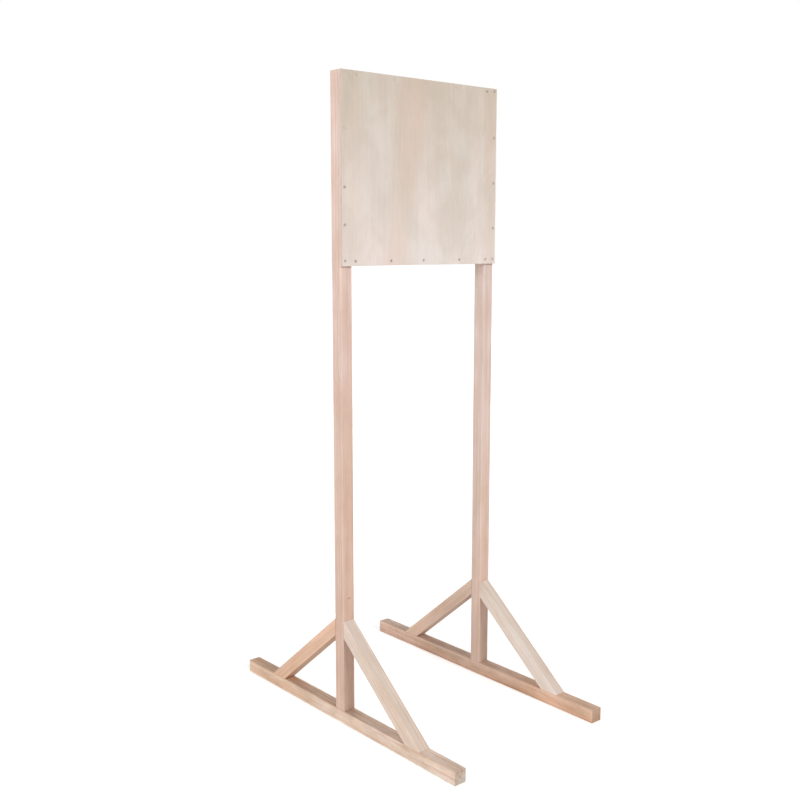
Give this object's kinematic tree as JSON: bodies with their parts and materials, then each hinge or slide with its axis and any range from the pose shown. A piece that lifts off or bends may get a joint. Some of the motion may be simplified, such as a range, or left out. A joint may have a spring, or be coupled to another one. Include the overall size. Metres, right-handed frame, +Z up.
{
  "type": "wooden target stand",
  "caption": "Free-standing timber striking-target stand: a nailed plywood board held at head height between slim posts on long braced feet.",
  "frame": {"origin": "on the floor, midway between the two posts and midway along the feet", "axes": "+Z up, +X across the stand from the left post to the right one, and the board faces -Y"},
  "size_m": [0.576, 0.95, 1.8],
  "materials": {
    "batten_timber": "planed, unfinished",
    "plywood": "sanded, unfinished",
    "nail_steel": "uncoated, gone dull",
    "screw_steel": "yellow zinc plated"
  },
  "bodies": {
    "root": {"left_post": "batten_timber", "right_post": "batten_timber", "left_foot": "batten_timber", "right_foot": "batten_timber", "left_front_brace": "batten_timber", "left_back_brace": "batten_timber", "right_front_brace": "batten_timber", "right_back_brace": "batten_timber", "top_rail": "batten_timber", "bottom_rail": "batten_timber", "target_board": "plywood", "left_post_board_nails": "nail_steel", "right_post_board_nails": "nail_steel", "top_rail_board_nails": "nail_steel", "bottom_rail_board_nails": "nail_steel", "left_rail_nails": "nail_steel", "right_rail_nails": "nail_steel", "left_front_brace_nails": "nail_steel", "left_back_brace_nails": "nail_steel", "right_front_brace_nails": "nail_steel", "right_back_brace_nails": "nail_steel", "left_post_screws": "screw_steel", "right_post_screws": "screw_steel"}
  },
  "joints": []
}
